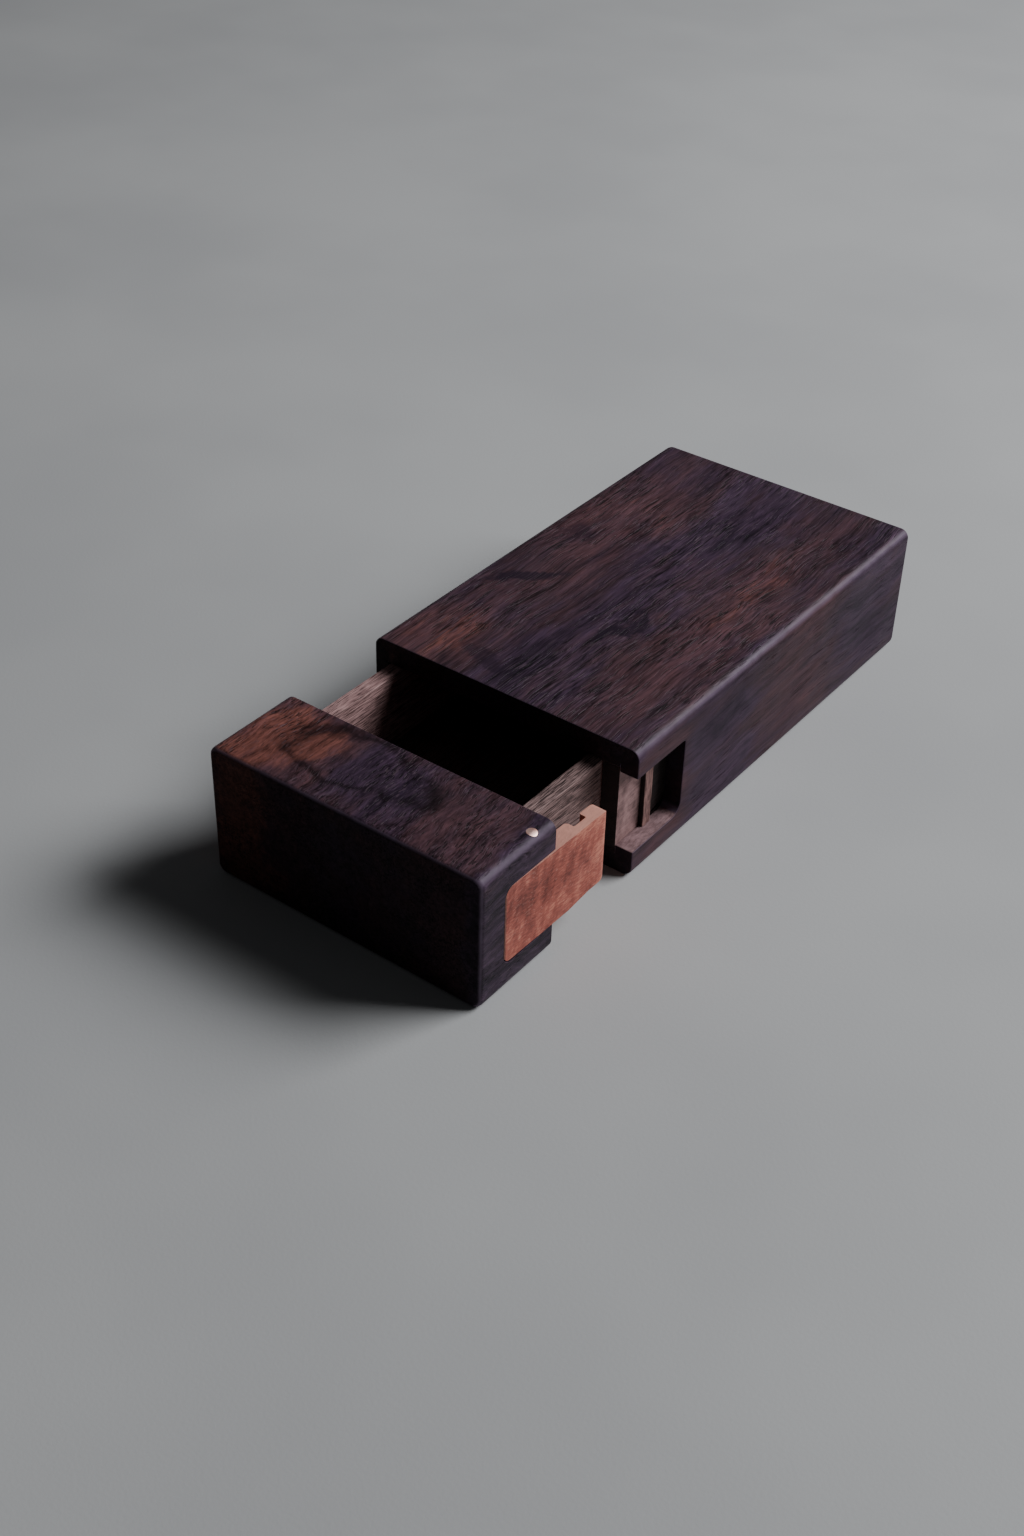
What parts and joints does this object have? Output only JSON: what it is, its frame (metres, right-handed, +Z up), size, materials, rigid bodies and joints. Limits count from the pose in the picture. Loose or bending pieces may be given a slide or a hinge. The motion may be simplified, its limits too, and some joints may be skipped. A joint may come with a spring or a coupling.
{
  "type": "wooden puzzle box",
  "caption": "Pocket puzzle box in dark wood: a sleeve and a sliding drawer behind a solid front block, kept shut by a side lever that turns on a brass pin.",
  "frame": {"origin": "centre of the underside of the sleeve, on the surface that the box rests on", "axes": "+X towards the side with the latch lever, +Y towards the closed end of the sleeve (the drawer opens towards -Y), +Z up"},
  "size_m": [0.0604, 0.145, 0.028],
  "materials": {
    "dark_rosewood": "oiled and rubbed to a satin, very dark purple-brown with fine pores",
    "raw_walnut": "bare, straight-grained grey-brown",
    "red_pear": "sanded smooth, orange-red with a soft figure",
    "pin_brass": "polished flush",
    "spring_steel": "drawn wire"
  },
  "bodies": {
    "sleeve": {"sleeve_top": "dark_rosewood", "sleeve_bottom": "dark_rosewood", "sleeve_left_wall": "dark_rosewood", "sleeve_right_wall": "dark_rosewood", "sleeve_right_liner": "raw_walnut", "sleeve_back": "dark_rosewood", "catch_post": "raw_walnut", "drawer_stop_pin": "pin_brass"},
    "drawer": {"front_block": "dark_rosewood", "drawer_left_side": "raw_walnut", "drawer_right_side": "raw_walnut", "drawer_back": "raw_walnut", "drawer_bottom": "raw_walnut", "latch_pin": "pin_brass", "latch_spring": "spring_steel"},
    "latch": {"latch_lever": "red_pear"}
  },
  "joints": [
    {"name": "drawer_slide", "type": "slide", "parent": "sleeve", "child": "drawer", "axis": [0, -1, 0], "range_m": [-0.0242, 0.0458]},
    {"name": "latch_pivot", "type": "hinge", "parent": "drawer", "child": "latch", "pos_m": [0.0282, -0.0792, 0.01392], "axis": [0, 0, -1], "range_deg": [-2.2, 4.5], "stiffness_Nm_per_rad": 0.03, "springref_deg": -7.91, "deforming": ["latch_spring"]}
  ]
}
